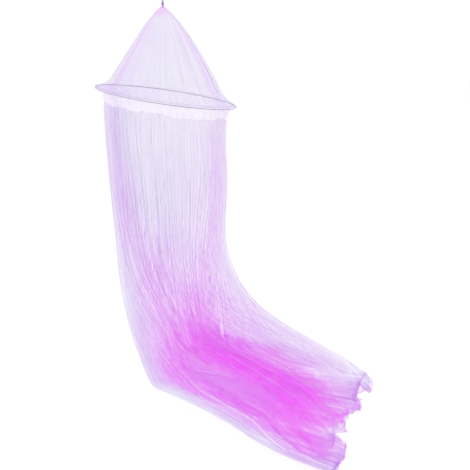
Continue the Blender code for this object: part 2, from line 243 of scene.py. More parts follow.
# %% The skirt's sections, from the hoop to the hem
# Each section is a closed curve in a plane through an outer and an inner point of the bend.
# along: metres from the hoop's axis the way the train goes; height: above the floor; near, far:
# half widths towards the front and the back; waist: where on the way from the outer to the inner
# point it is widest; reach: how far the deepest folds go towards the core, as a share; gather: 0
# where folds lie all round, 1 where they lie in bunches; twist: degrees that the cloth has turned;
# level: 1 where the section is tilted as the hoop is.
SECTION_COLUMNS = (
    "outer_along outer_height inner_along inner_height near far waist reach gather twist level".split()
)
SECTIONS = (
    (-0.2944, 1.3045, 0.2944, 1.3045, 0.2944, 0.2944, 0.50, 0.01, 0.0, 0, 1.0),
    (-0.274, 1.290, 0.273, 1.290, 0.273, 0.273, 0.50, 0.02, 0.0, 0, 1.0),
    (-0.264, 1.262, 0.261, 1.262, 0.263, 0.262, 0.50, 0.02, 0.0, 0, 1.0),
    (-0.264, 1.150, 0.252, 1.150, 0.259, 0.257, 0.50, 0.03, 0.1, 0, 0.8),
    (-0.252, 0.950, 0.258, 0.950, 0.255, 0.253, 0.50, 0.04, 0.2, -2, 0.4),
    (-0.234, 0.730, 0.249, 0.765, 0.244, 0.240, 0.50, 0.06, 0.4, -5, 0.1),
    (-0.227, 0.560, 0.258, 0.650, 0.236, 0.238, 0.50, 0.09, 0.6, -9, 0.0),
    (-0.208, 0.360, 0.303, 0.540, 0.220, 0.244, 0.50, 0.17, 0.8, -15, 0.0),
    (-0.162, 0.170, 0.377, 0.448, 0.195, 0.256, 0.48, 0.32, 0.9, -22, 0.0),
    (-0.106, 0.010, 0.470, 0.388, 0.152, 0.268, 0.42, 0.52, 1.0, -28, 0.0),
    (-0.044, -0.030, 0.570, 0.340, 0.142, 0.285, 0.34, 0.66, 1.0, -33, 0.0),
    (0.080, -0.035, 0.668, 0.296, 0.168, 0.305, 0.26, 0.74, 1.0, -36, 0.0),
    (0.230, -0.035, 0.745, 0.260, 0.216, 0.325, 0.22, 0.76, 1.0, -38, 0.0),
    (0.390, -0.030, 0.810, 0.224, 0.284, 0.340, 0.20, 0.74, 1.0, -40, 0.0),
    (0.530, -0.025, 0.862, 0.184, 0.362, 0.360, 0.20, 0.68, 0.9, -40, 0.0),
    (0.680, -0.018, 0.905, 0.144, 0.426, 0.380, 0.22, 0.52, 0.7, -40, 0.0),
    (0.850, -0.010, 0.910, 0.116, 0.465, 0.395, 0.26, 0.34, 0.6, -40, 0.0),
)
LAST_SECTION = len(SECTIONS) - 1
TRAIN_TURN = math.radians(-25.0)  # the way the train is drawn, from +X towards the front
NET_CLEAR = 0.0012  # how far over the floor the net lies

# The core, where the bottoms of the folds in front and of those behind meet, at every second
# section: metres across the train, and the share of the way from the outer to the inner point.
CORE_STEP = 2
NEAR_CORE = (
    (0.00, 0.50), (0.00, 0.50), (0.00, 0.50), (-0.03, 0.46), (-0.07, 0.20), (-0.11, 0.34),
    (-0.14, 0.42), (-0.20, 0.46), (-0.25, 0.46),
)
FAR_CORE = (
    (0.00, 0.50), (0.00, 0.50), (0.00, 0.50), (0.00, 0.50), (0.02, 0.48), (0.08, 0.46),
    (0.07, 0.46), (0.05, 0.42), (0.05, 0.40),
)
CORE_BLEND = 0.4  # where the near side's core gives way to the far side's, as a cosine
CORE_MIX = 0.35  # how far a fold may lie towards the other side's core, as a share
CORE_SPREAD = (0.07, 0.22)  # how far from there its bottom may lie, in metres across and deep

# The hem's lobes: metres across the train, and how far the hem goes beyond its section there.
HEM_LOBES = (
    (-0.52, 0.030), (-0.42, 0.065), (-0.36, 0.045), (-0.31, -0.035), (-0.25, -0.005), (-0.19, -0.010),
    (-0.15, -0.030), (-0.11, 0.015), (-0.06, -0.020), (-0.02, -0.065), (0.03, -0.030), (0.10, 0.012),
    (0.16, -0.015), (0.24, -0.050), (0.30, -0.055), (0.36, -0.070),
)
HEM_ROWS = 3.0  # how many sections the lobes take to die out
FOLD_BACK = 0.05  # how much further back than a crest the deepest fold ends at the hem
print("sections:", len(SECTIONS))

# %% [markdown]
# The pleats aren't alike, as nothing is when cloth is pushed together by hand: each has its own
# depth, its crest lies in by its own share, its edges are shifted a little, and its bottom lies in
# a place of its own round the core. Between the pleats run the fine gathers that the heading
# makes. They are the sum of a few waves whose counts share no factor, so that they never repeat,
# and they drift sideways on their way down.

# %% The folds round the skirt
PLEATS = 64
PLEAT_DEPTHS = (1.00, 0.62, 0.92, 0.45, 0.97, 0.74, 0.55, 0.86, 1.00, 0.68, 0.40, 0.95, 0.80)
PLEAT_CRESTS = (0.14, 0.04, 0.18, 0.06, 0.12, 0.22, 0.08, 0.16, 0.02)
PLEAT_SHIFTS = (0.00, 0.16, -0.10, 0.07, 0.20, -0.14, 0.04, -0.18, 0.11, -0.06, 0.17, -0.08)
DEPTH_STRIDE, CREST_STRIDE = 5, 2  # how many entries the next pleat goes on in its table
CREST_CHANGE = (0.40, 0.60)  # where in a pleat its crest gives way to the next one's
FOLD_DOWN, FOLD_UP = (0.04, 0.47), (0.53, 0.96)  # where in a pleat the net goes down, and up again
GOLDEN_SHARE = 0.618

BUNCHES = 2  # with a smooth lobe between each two
BUNCH_TURN = math.radians(96.0)  # where the middle of the inner side's lobe lies
BUNCH_PULL = 0.60  # how far the folds are pulled from the lobes into the bunches
LOBE_EDGES = (-0.7, 0.3)  # where a lobe grows, as cosines of BUNCHES times the turn from its middle
LOBE_FOLD = 0.25  # how deep a fold on a lobe is in the tube, next to one in a bunch
LOBE_SMOOTHS = (0.35, 0.65)  # the shares of the way down between which a lobe's folds go
TUBE_PULL = 0.92  # how much shallower the folds are at the tube's two sides, where the net is taut
PULL_ENDS = (0.40, 0.75)  # the shares of the way down between which that ends
PULL_SIDES = (0.10, 0.80)  # where those sides begin, as squared sines of the turn from the train's way

# The fine gathers: how many go round, how deep as a share of the way in, the drift on the way
# down, and where each begins.
GATHERS = ((71, 0.030, 2.2, 0.3), (113, 0.020, -3.1, 1.7), (167, 0.011, 4.3, 4.0))
GATHER_SWAY, GATHER_BENDS = 0.8, 3  # how far a gather sways sideways, and how often on its way
GATHERS_BEGIN, GATHERS_GROW, GATHERS_END = (0.0, 0.03), (0.0, 0.40), (0.42, 0.62)  # shares of the way
GATHERS_SMALL, GATHERS_LEFT = 0.3, 0.1  # their size before they grow, and after the bend


def pleats_round(columns):
    """For each column: its turn, its pleat's depth and crest, its fold, and where its bottom lies.

    The fold runs from 0 on the crest to 1 at the bottom and back, on two smooth steps. The bottoms
    lie on a round disc, across and deep: each pleat turns on by the golden share, and the square
    root of a share gives its way out, so that they fill the disc evenly, as seeds do.
    """
    spot = PLEATS * np.arange(columns) / columns
    pleat = spot.astype(int)
    part = spot - pleat
    edges = np.arange(PLEATS + 1, dtype=float)
    edges[:-1] += np.resize(PLEAT_SHIFTS, PLEATS)
    edges[-1] = edges[0] + PLEATS
    turn = (edges[pleat] + part * (edges[pleat + 1] - edges[pleat])) / PLEATS
    depth = np.array(PLEAT_DEPTHS)[(DEPTH_STRIDE * pleat) % len(PLEAT_DEPTHS)]
    crests = np.array(PLEAT_CRESTS)[(CREST_STRIDE * np.arange(PLEATS)) % len(PLEAT_CRESTS)]
    crest = crests[pleat] + (crests[(pleat + 1) % PLEATS] - crests[pleat]) * rounded(*CREST_CHANGE, part)
    fold = rounded(*FOLD_DOWN, part) * (1 - rounded(*FOLD_UP, part))
    way = 2 * math.pi * (GOLDEN_SHARE * pleat % 1)
    out = np.sqrt((1 - GOLDEN_SHARE) * pleat % 1)
    return turn, depth, crest, fold, out * np.cos(way), out * np.sin(way)


def fine_gathers(turn, down):
    """The sum of the gathers' waves, which grow in the tube and are nearly gone after the bend."""
    wave = sum(
        high * np.sin(
            2 * math.pi * count * turn + begin + drift * down
            + GATHER_SWAY * np.sin(GATHER_BENDS * down + count * turn)
        )
        for count, high, drift, begin in GATHERS
    )
    grown = GATHERS_SMALL + (1 - GATHERS_SMALL) * rounded(*GATHERS_GROW, down)
    left = 1 - (1 - GATHERS_LEFT) * rounded(*GATHERS_END, down)
    return wave * grown * left * rounded(*GATHERS_BEGIN, down)


print("pleats:", PLEATS, "and gathers between them:", sum(count for count, *_ in GATHERS))

# %% [markdown]
# A point of the skirt is found in the plane of its section, where across and deep are its two
# ways. It starts on an oval, goes its share of the way to the core, and is kept off the floor. The
# plane then puts it into the room: deep becomes a way along the train and a height.

# %% From a row and a column to a point
PLACE_ACROSS = 0.5  # how much further in a point is seen for each metre that it lies further back
SIDE_BLEND = 0.3  # where the front gives way to the back, as a cosine
LEAST_RISE = 0.01  # a rise that no section on the floor is under


def skirt_rows(at):
    """The sections' values at row numbers, each as a column that spreads over the points of a row.

    ground is how deep a point of the section lies where the floor cuts it: its outer point's depth
    under the floor, times length over rise.
    """
    row = dict(zip(SECTION_COLUMNS, smooth_rows(SECTIONS, at).T[:, :, None]))
    row["along"] = row["inner_along"] - row["outer_along"]
    row["rise"] = row["inner_height"] - row["outer_height"]
    row["length"] = np.hypot(row["along"], row["rise"])
    row["down"] = (at / LAST_SECTION)[:, None]
    under = np.maximum(0, -row["outer_height"])
    row["ground"] = under * row["length"] / np.maximum(row["rise"], LEAST_RISE)
    return row


def oval(row, angle):
    """Across and deep on the section's oval, whose halves have their own widths and depths."""
    across = np.cos(angle) * np.where(np.cos(angle) > 0, row["far"], row["near"])
    deep = row["waist"] + np.sin(angle) * np.where(np.sin(angle) > 0, 1 - row["waist"], row["waist"])
    return across, np.maximum(deep * row["length"], row["ground"])


def core_place(at, row, angle, aside):
    """Across and deep of the place to which a fold reaches: its side's core, and its own way aside."""
    near_core, far_core = (smooth_rows(core, at / CORE_STEP)[:, :, None] for core in (NEAR_CORE, FAR_CORE))
    far_side = np.clip(rounded(-CORE_BLEND, CORE_BLEND, np.cos(angle)) + CORE_MIX * aside[0], 0, 1)
    core = near_core + far_side[:, None] * (far_core - near_core)
    return core[:, 0] + CORE_SPREAD[0] * aside[0], core[:, 1] * row["length"] + CORE_SPREAD[1] * aside[1]


def fold_share(row, angle, turn, bunch, depth, crest, fold):
    """How far a point is drawn to the core: the section's reach times the fold, and the gathers.

    In a bunch a fold runs from its crest's share to its full depth, and on a lobe it is flat or
    nearly so. At the tube's two sides, where the net is taut, it is pulled out.
    """
    high = crest * bunch * row["gather"]
    lobe_fold = LOBE_FOLD * (1 - rounded(*LOBE_SMOOTHS, row["down"]))
    folded = high + fold * (depth * (lobe_fold + (1 - lobe_fold) * bunch) - high)
    side = rounded(*PULL_SIDES, np.sin(angle - TRAIN_TURN) ** 2)
    free = 1 - TUBE_PULL * (1 - rounded(*PULL_ENDS, row["down"])) * side
    share = row["reach"] * folded * free
    return np.clip(share + fine_gathers(turn, row["down"]) * (1 - share) * free, 0, 1)


def hem_shift(at, across, share):
    """How far the hem's lobes carry a point on: fully at the hem, and not at all HEM_ROWS before it."""
    fade = np.clip(1 - (LAST_SECTION - at) / HEM_ROWS, 0, 1)[:, None] ** 2
    return fade * (np.interp(across, *np.array(HEM_LOBES).T) - FOLD_BACK * share)


def in_room(forward, across, height):
    """A place by the train's own directions, as a point of the frame."""
    x = HOOP_ASIDE + forward * math.cos(TRAIN_TURN) - across * math.sin(TRAIN_TURN)
    y = forward * math.sin(TRAIN_TURN) + across * math.cos(TRAIN_TURN)
    return np.stack(np.broadcast_arrays(x, y, FLOOR + height), axis=-1)


def skirt_grid(at, columns):
    """The skirt's points at row numbers, and for each its share to the core, its place and its side.

    The turn is moved by sin(2 turn), which pulls the folds into two bunches. The place is the way
    deep and half of the way across, scaled so that it runs from 0 at the section's outer edge to 1
    at its inner edge, as they are seen from in front. The side is 0 in front and 1 behind.
    """
    row = skirt_rows(at)
    turn, depth, crest, fold, *aside = (value[None, :] for value in pleats_round(columns))
    lobing = BUNCHES * (2 * math.pi * turn - BUNCH_TURN)
    even = 2 * math.pi * turn + np.radians(row["twist"])
    angle = even + row["gather"] * BUNCH_PULL / BUNCHES * np.sin(lobing)
    bunch = 1 - row["gather"] * rounded(*LOBE_EDGES, np.cos(lobing))
    across, deep = oval(row, angle)
    core_across, core_deep = core_place(at, row, angle, aside)
    share = fold_share(row, angle, turn, bunch, depth, crest, fold)
    across = across + share * (core_across - across)
    deep = np.maximum(deep + share * (core_deep - deep), row["ground"])
    forward = row["outer_along"] + deep * row["along"] / row["length"] + hem_shift(at, across, share)
    height = NET_CLEAR + row["outer_height"] + deep * row["rise"] / row["length"]
    centre = in_room(row["outer_along"] + row["along"] / 2, 0, row["outer_height"] + row["rise"] / 2)
    points = dipped(in_room(forward, across, height), centre, row["level"][:, :, None])
    place = deep + PLACE_ACROSS * across
    lowest, highest = place.min(axis=1, keepdims=True), place.max(axis=1, keepdims=True)
    side = rounded(-SIDE_BLEND, SIDE_BLEND, np.cos(angle))
    return points, share, (place - lowest) / (highest - lowest), side


SKIRT_COLUMNS, SKIRT_ROWS = 980, 100
# The rows lie closer under the hoop, where the sections do: shares of the rows, and sections.
ROW_SHARES, ROW_SECTIONS = (0, 0.02, 0.05, 0.12, 1), (0, 1, 2, 3, LAST_SECTION)

skirt_at = np.interp(np.arange(SKIRT_ROWS + 1) / SKIRT_ROWS, ROW_SHARES, ROW_SECTIONS)
skirt_points, skirt_share, skirt_place, skirt_side = skirt_grid(skirt_at, SKIRT_COLUMNS)
round_hem = np.linalg.norm(np.roll(skirt_points[-1], -1, axis=0) - skirt_points[-1], axis=1).sum()
down_step = np.linalg.norm(np.diff(skirt_points, axis=0), axis=2).mean(axis=1)
skirt_drop = float(down_step.sum())
print(f"skirt: {area_of(skirt_points):.2f} square metres, {skirt_drop:.2f} m long on average")
print(f"hem: {round_hem:.2f} m round")

# %% [markdown]
# How much light the net stops depends on how many layers lie one over another. The eye doesn't
# see single layers but their sum, in soft bands, so a table says how much net lies over each place
# of a section. A veil of amount a lets exp(-a) of the light pass: an amount of 1 stops nearly two
# thirds of it. The layers over each place are counted, and each gets its part of the amount. The
# front and the back of the skirt aren't seen at quite the same place, so each gets a part of its
# own: nearly half where both have layers, and all of it where only one has.

# %% How much net lies over each place
# For a section: the amount at the outer and at the inner edge, the rise between them, and the
# middle, half width and height of the near band and of the far band. Places go from 0 at the outer
# to 1 at the inner edge.
SKIRT_AMOUNT = (
    (0, 0.24, 0.24, 0.00, 0.05, 0.12, 0.22, 0.95, 0.10, 0.15),
    (3, 0.32, 0.27, 0.00, 0.06, 0.12, 0.27, 0.95, 0.10, 0.22),
    (4, 0.36, 0.36, 0.00, 0.09, 0.10, 0.32, 0.91, 0.08, 0.24),
    (5, 0.46, 0.40, 0.06, 0.15, 0.13, 0.24, 0.90, 0.07, 0.22),
    (6, 0.44, 0.40, 0.20, 0.32, 0.14, 0.26, 0.88, 0.09, 0.20),
    (7, 0.40, 0.40, 0.38, 0.34, 0.14, 0.26, 0.60, 0.15, 0.10),
    (8, 0.53, 0.50, 0.36, 0.26, 0.15, 0.18, 0.48, 0.16, 0.80),
    (9, 0.44, 0.48, 0.45, 0.25, 0.12, 1.00, 0.52, 0.10, 2.50),
    (10, 0.28, 0.42, 0.35, 0.21, 0.09, 1.45, 0.56, 0.095, 3.80),
    (12, 0.20, 0.34, 0.55, 0.19, 0.11, 1.05, 0.56, 0.15, 1.60),
    (13, 0.25, 0.30, 0.60, 0.27, 0.17, 1.10, 0.53, 0.17, 1.70),
    (14, 0.22, 0.25, 0.45, 0.27, 0.13, 1.35, 0.46, 0.13, 1.85),
    (15, 0.40, 0.14, 0.36, 0.21, 0.13, 1.15, 0.52, 0.13, 1.45),
    (16, 0.40, 0.40, 0.60, 0.20, 0.15, 0.50, 0.80, 0.12, 0.60),
)
PLACE_BINS = 72  # the parts of a section's width in which the layers are counted
HALF_LAYERS = 0.5  # how many layers give a side half of its full part


def net_amount(at, place):
    """How much net lies over each place: a line between the edges, a rise, and the two bands' bells."""
    rows, *columns = np.array(SKIRT_AMOUNT).T
    outer, inner, rise, near, near_half, near_high, far, far_half, far_high = (
        np.interp(at, rows, column)[:, None] for column in columns
    )
    loose = outer + (inner - outer) * place + rise * 4 * place * (1 - place)
    return loose + near_high * bell(place, near, near_half) + far_high * bell(place, far, far_half)


def layers_over(place, weight):
    """How many layers lie over each point's place in its section.

    The width that the net covers in each of a few bins, over the bin's own width, is the number of
    layers in it. A point takes its number from the two bins whose middles lie about it.
    """
    after = np.roll(place, -1, axis=1)
    bins = np.minimum(((place + after) / 2 * PLACE_BINS).astype(int), PLACE_BINS - 1)
    row = np.arange(len(place))[:, None]
    covered = np.abs(after - place) * weight * PLACE_BINS
    layers = np.bincount((row * PLACE_BINS + bins).ravel(), covered.ravel(), len(place) * PLACE_BINS)
    layers = layers.reshape(len(place), PLACE_BINS)
    spot = np.clip(place * PLACE_BINS - 0.5, 0, PLACE_BINS - 1.001)  # so that low + 1 is a bin too
    low = spot.astype(int)
    return layers[row, low] + (spot - low) * (layers[row, low + 1] - layers[row, low])


def layer_share(place, weight, side):
    """The share of the net over its place that a layer of weight 1 has.

    A side with n layers has the part n / (n + HALF_LAYERS), which its layers share. Both sides'
    shares are then divided by the sum of the two parts, so that all the layers' shares come to 1.
    """
    behind = layers_over(place, weight * side) + HALF_LAYERS
    before = layers_over(place, weight * (1 - side)) + HALF_LAYERS
    return (side / behind + (1 - side) / before) / (2 - HALF_LAYERS / behind - HALF_LAYERS / before)


print("net amounts at", len(SKIRT_AMOUNT), "sections, layers counted over", PLACE_BINS, "places")

# %% Make the skirt
SKIRT_FLAT = (6.6, 1.80)  # how wide and how long the net was cut
FOLD_THIN = 0.80  # how much less net a layer has in a fold
THIN_SECTIONS, THIN_SHARES = (6.0, 10.0), (0.01, 0.20)  # between which sections and shares that comes
LOOSE_NET = 0.30  # the share of light that net stops where it has the thin colour, which is painted shade
FOLD_SHADING = 0.30  # how much nearer to the full colour, painted bounced light, the colour is in a fold
SHADING_SHARES, SHADING_AMOUNTS = (0.0, 0.06), (0.35, 0.90)  # between which shares and amounts that comes
INNER_SHADING, INNER_PLACES = 0.22, (0.45, 0.80)  # the same on the inner side, and between which places
HEM_PALE, PALE_SECTIONS = 0.4, (15.0, 15.8)  # how much of the painted shading mix the hem lacks, and from where on
# A corner of the hem lies double: where and how wide, as shares of a turn, from where on, and how
# much of the light that its own net lets pass the second layer stops.
CORNER_TURN, CORNER_HALF, CORNER_SECTIONS, CORNER_COVER = 0.300, 0.030, (14.0, 15.2), 0.22


def nearer_one(value, share):
    """The value, moved to 1 by a share of what it lacks."""
    return value + share * (1 - value)


skirt_v = SKIRT_FLAT[1] * (1 - np.concatenate([[0], np.cumsum(down_step)]) / skirt_drop)
section = skirt_at[:, None]

amount = net_amount(skirt_at, skirt_place)
fold_weight = 1 - FOLD_THIN * rounded(*THIN_SECTIONS, section) * rounded(*THIN_SHARES, skirt_share)
skirt_cover = 1 - np.exp(-amount * fold_weight * layer_share(skirt_place, fold_weight, skirt_side))
round_share = np.arange(SKIRT_COLUMNS) / SKIRT_COLUMNS
corner = rounded(*CORNER_SECTIONS, section) * bell(round_share, CORNER_TURN, CORNER_HALF)
skirt_cover = nearer_one(skirt_cover, CORNER_COVER * corner)

# The shading mix: 0 gives the thin colour, painted shade on sparse net; 1 gives the full colour, painted
# light bounced between deep stacks.
stopped = 1 - np.exp(-amount)
skirt_shading_mix = (np.clip(1 - LOOSE_NET / stopped, 0, 1) / (1 - LOOSE_NET)) ** 2
in_fold = rounded(*SHADING_SHARES, skirt_share) * rounded(*SHADING_AMOUNTS, amount)
skirt_shading_mix = nearer_one(skirt_shading_mix, FOLD_SHADING * in_fold)
skirt_shading_mix = nearer_one(skirt_shading_mix, INNER_SHADING * rounded(*INNER_PLACES, skirt_place))
skirt_shading_mix = skirt_shading_mix * (1 - HEM_PALE * rounded(*PALE_SECTIONS, section))
skirt_cloth = flat_cloth(SKIRT_FLAT[0], SKIRT_COLUMNS, skirt_v)
# Its attribute gather carries this painted shading mix to the net material.
skirt = grid_piece("skirt_net", skirt_points, skirt_cloth, gather=skirt_shading_mix, cover=skirt_cover)
print("skirt faces:", len(skirt.data.polygons))

# %% [markdown]
# ## The roof: a cone of net
#
# The roof is net as well, bunched tight at the neck and let out to the hoop. Its profile is a short
# table: how far down, and how far out. Soft folds run from the neck, and a few bands of closer
# gathers fall where the net was pushed together when it was bound.

# %% The roof's shape
NECK_TOP, APEX, NECK_RADIUS = -0.0615, -0.078, 0.0026
ROOF_OVER = 0.0041  # how far over the hoop's centre line the roof's net ends
# The share of the way down, the radius there, and how deep the soft folds are as a share of it.
ROOF = (
    (0.00, 0.0045, 0.00), (0.02, 0.0130, 0.00), (0.08, 0.0360, 0.03), (0.18, 0.0700, 0.05),
    (0.32, 0.1080, 0.06), (0.48, 0.1470, 0.06), (0.64, 0.1850, 0.055), (0.78, 0.2170, 0.05),
    (0.88, 0.2380, 0.04), (0.95, 0.2630, 0.02), (1.00, 0.2962, 0.00),
)
ROOF_ROWS_CLOSE = 1.15  # the power that lays the rows closer together near the neck
ROOF_FOLDS = 13
ROOF_WANDER = ((3, 0.11, 5.21), (5, 0.07, 0.43))  # how the folds' places wander round the axis
ROOF_SWELL = ((2, 0.30, 1.0),)  # how their depth changes round it, about FOLD_MEAN
FOLD_MEAN = 0.70
# The bands of closer gathers: the turn of each in degrees, its half width, and its strength.
ROOF_BANDS = (
    (143, 9, 0.7), (219, 10, 1.0), (238, 2, 0.5), (311, 2, 0.5), (331, 10, 1.0), (28, 8, 0.6),
    (75, 6, 0.2),
)
BAND_GATHER, BAND_FADE = 0.85, 0.4  # how gathered the net is in a band, and how much less at the hoop
ROOF_RIPPLES = ((83, 0.5, 0.0), (131, 0.3, 1.1), (197, 0.2, 2.3))
RIPPLE_DEPTH, BAND_DEPTH = 0.0015, 0.014  # a ripple's depth as a share of the radius, and more in a band
RIPPLE_SWAY, RIPPLE_BENDS = 0.01, 7  # how far the ripples sway sideways, and how often on the way
RIPPLES_BEGIN, RIPPLES_END = (0.0, 0.06), (0.85, 1.0)  # shares of the way down
NECK_GATHERED = (0.0, 0.16)  # between which shares the neck's close gathers open


def rings_at(radius, turn, height):
    """Points round the Z axis, as rows and columns, from radii, turns and heights."""
    return np.stack(np.broadcast_arrays(radius * np.cos(turn), radius * np.sin(turn), height), axis=2)


def roof_bands(turn):
    """How strongly the net is gathered round the axis: the sum of a bell curve for each band."""
    total = 0
    for middle, half, strength in ROOF_BANDS:
        off = (np.degrees(turn) - middle + 180) % 360 - 180
        total = total + strength * bell(off, 0, half)
    return total


def roof_grid(rows, columns):
    """The roof's points from under the neck to the hoop, and how gathered each is.

    The radius is the table's, less the soft folds' share of it, less the ripples, which are deeper
    in a band. The centre moves to the hoop's on the way down, and the dip grows as the square.
    """
    turn = turns(columns)[None, :]
    share = np.linspace(0, 1, rows)[:, None] ** ROOF_ROWS_CLOSE
    way, radii, depths = np.array(ROOF).T
    wander = turn + waves(turn, ROOF_WANDER)
    soft = (1 - np.cos(ROOF_FOLDS * wander)) / 2 * (FOLD_MEAN + waves(turn, ROOF_SWELL))
    band = roof_bands(turn)
    sway = RIPPLE_SWAY * np.sin(RIPPLE_BENDS * share)
    ripple = (RIPPLE_DEPTH + BAND_DEPTH * band) * waves(turn + sway, ROOF_RIPPLES)
    ripple = ripple * rounded(*RIPPLES_BEGIN, share) * (1 - rounded(*RIPPLES_END, share))
    radius = np.interp(share, way, radii) * (1 - np.interp(share, way, depths) * soft - ripple)
    height = APEX + share * (HOOP_CENTRE[2] + ROOF_OVER - APEX)
    centre = np.stack([share * HOOP_ASIDE, 0 * share, height], axis=2)
    points = rings_at(radius, turn, height) + centre * (1, 0, 0)
    gather = BAND_GATHER * band * (1 - BAND_FADE * share) + 1 - rounded(*NECK_GATHERED, share)
    return dipped(points, centre, (share**2)[:, :, None]), np.clip(gather, 0, 1)


ROOF_ROWS, ROOF_COLUMNS = 84, 780
ROOF_FLAT = (1.95, 0.47)  # how wide and how long the net was cut
ROOF_COVER, GATHERED_COVER = 0.13, 0.15  # a layer's cover, and what full gathering adds to it
NECK_RUFFLES, RUFFLE_DEPTH = 31, 0.0005  # the little waves of the net's end above the whipping
NECK_HEIGHTS = np.array([NECK_TOP, NECK_TOP - 0.004, APEX + 0.0005])[:, None]  # of its three rings

roof_points, roof_gather_and_shading = roof_grid(ROOF_ROWS, ROOF_COLUMNS)
turn = turns(ROOF_COLUMNS)
ruffle = RUFFLE_DEPTH * np.sin(NECK_RUFFLES * turn)
neck = rings_at(NECK_RADIUS + np.array([ruffle, 0 * turn, 0 * turn]), turn, NECK_HEIGHTS)
roof_points = np.concatenate([neck, roof_points])
roof_gather_and_shading = np.concatenate([np.ones((len(neck), ROOF_COLUMNS)), roof_gather_and_shading])
roof_cloth = flat_cloth(ROOF_FLAT[0], ROOF_COLUMNS, ROOF_FLAT[1] * np.linspace(1, 0, len(roof_points)))
# The gather is real gathering, which sets the cover, and also the painted shading mix: pinker in bands and
# at the neck, as light bounced in deep net.
roof_cover = ROOF_COVER + GATHERED_COVER * roof_gather_and_shading
roof = grid_piece("roof", roof_points, roof_cloth, gather=roof_gather_and_shading, cover=roof_cover)
print(f"roof: {area_of(roof_points):.2f} square metres, {len(roof.data.polygons)} faces")

# %% [markdown]
# ## The frill: a gathered band of lace
#
# The frill is a strip of white lace, about half as long again as the hoop, gathered along its top
# edge. Gathering throws it into waves that grow from nothing at the stitching to their full depth
# at the free edge, which hangs unevenly and ends in small scallops.

# %% The frill's shape
# Drop below the hoop's centre line, radius, and how far the waves stand out.
FRILL = (
    (0.0032, 0.2978, 0.0000), (0.012, 0.2840, 0.0012), (0.028, 0.2775, 0.0034),
    (0.046, 0.2745, 0.0062),
)
FRILL_WAVES = ((33, 0.60, 0.0), (52, 0.45, 1.3), (79, 0.30, 2.9), (121, 0.16, 0.8))
FRILL_RAGGED = ((6, 0.0030, 0.4), (11, 0.0022, 2.0), (19, 0.0018, 0.0), (41, 0.0010, 1.0))
FRILL_WANDER = ((5, 0.06, 4.71), (9, 0.04, 5.71))
FRILL_FLAT = (2.60, 0.047)  # how long and how wide the strip was cut
SCALLOPS, SCALLOP_DEPTH = 150, 0.0020
SCALLOP_PART = (0.75, 1.0)  # between which shares of the way down the scallops grow


def frill_grid(rows, columns):
    """The frill's points from its stitching to its free edge.

    Radius and drop follow the table. To the radius comes the waves' sum times the depth that the
    table gives; to the drop come the ragged edge, which grows with the square of the way down, and
    the scallops: the absolute value of a sine, so that they meet in sharp corners.
    """
    turn = turns(columns)[None, :]
    wander = turn + waves(turn, FRILL_WANDER)
    rows_at = np.linspace(0, len(FRILL) - 1, rows)
    drop, radius, stand = smooth_rows(FRILL, rows_at).T[:, :, None]
    way = (drop - FRILL[0][0]) / (FRILL[-1][0] - FRILL[0][0])
    out = radius + stand * waves(wander, FRILL_WAVES)
    scallop = SCALLOP_DEPTH * (np.abs(np.sin(SCALLOPS / 2 * wander)) - 0.5)
    height = -drop - way**2 * waves(turn, FRILL_RAGGED) - scallop * rounded(*SCALLOP_PART, way)
    return dipped(rings_at(out, turn, height) + HOOP_CENTRE, HOOP_CENTRE, 1.0)


FRILL_ROWS, FRILL_COLUMNS = 16, 1500
frill_points = frill_grid(FRILL_ROWS, FRILL_COLUMNS)
frill_cloth = flat_cloth(FRILL_FLAT[0], FRILL_COLUMNS, FRILL_FLAT[1] * np.linspace(1, 0, FRILL_ROWS))
frill = grid_piece("lace_frill", frill_points, frill_cloth)
print(f"frill: {area_of(frill_points):.3f} square metres, {len(frill.data.polygons)} faces")

# %% [markdown]
# ## The hoop, the cord and the whipping: profiles carried along a path
#
# A hoop of wire, a twisted cord and a thread wound round a neck are all the same idea: a small
# closed profile carried along a path. The path gives a frame of two directions at each of its
# points, and the profile is laid out in that frame. A cord's twist is in its profile: two strands
# side by side make a figure like an eight, which turns as it goes.

# %% The sweep helper
SAME_POINT = 1e-7  # points nearer to each other than this become one


def swept(path, profile, up):
    """The rings of a profile carried along a path.

    path is (n, 3). profile is (n, m, 2) or (m, 2): how far along the side direction and how far
    along up. up is a fixed direction or one for each point, made square to the path.
    """
    way = np.gradient(path, axis=0)
    way /= np.linalg.norm(way, axis=1, keepdims=True)
    up = np.broadcast_to(np.asarray(up, float), path.shape)
    up = up - way * np.sum(up * way, axis=1, keepdims=True)
    up /= np.linalg.norm(up, axis=1, keepdims=True)
    side = np.cross(way, up)
    profile = np.broadcast_to(profile, (len(path), *np.shape(profile)[-2:]))
    return path[:, None, :] + profile[:, :, :1] * side[:, None, :] + profile[:, :, 1:] * up[:, None, :]


def swept_piece(name, rings, length, girth, closed=False):
    """A mesh from swept rings, closed to a loop, or with each of its ends drawn in to a point."""
    if closed:
        rings = np.concatenate([rings, rings[:1]])
    else:
        tips = rings.mean(axis=1, keepdims=True)
        rings = np.concatenate([tips[:1] + 0 * rings[:1], rings, tips[-1:] + 0 * rings[-1:]])
    flat = flat_cloth(girth, rings.shape[1], length * np.linspace(0, 1, len(rings)))
    piece = grid_piece(name, rings, flat)
    shaped = bmesh.new()
    shaped.from_mesh(piece.data)
    bmesh.ops.remove_doubles(shaped, verts=shaped.verts, dist=SAME_POINT)
    bmesh.ops.recalc_face_normals(shaped, faces=shaped.faces)
    shaped.to_mesh(piece.data)
    shaped.free()
    return piece


def round_profile(radius, count):
    """A circle of points."""
    return radius * np.stack([np.cos(turns(count)), np.sin(turns(count))], axis=1)


print("sweep helper ready")

# %% Bend the hoop
WIRE_RADIUS = 0.0019
HOOP_RADIUS = 0.2975
WIRE_POINTS, HOOP_RINGS = 12, 240

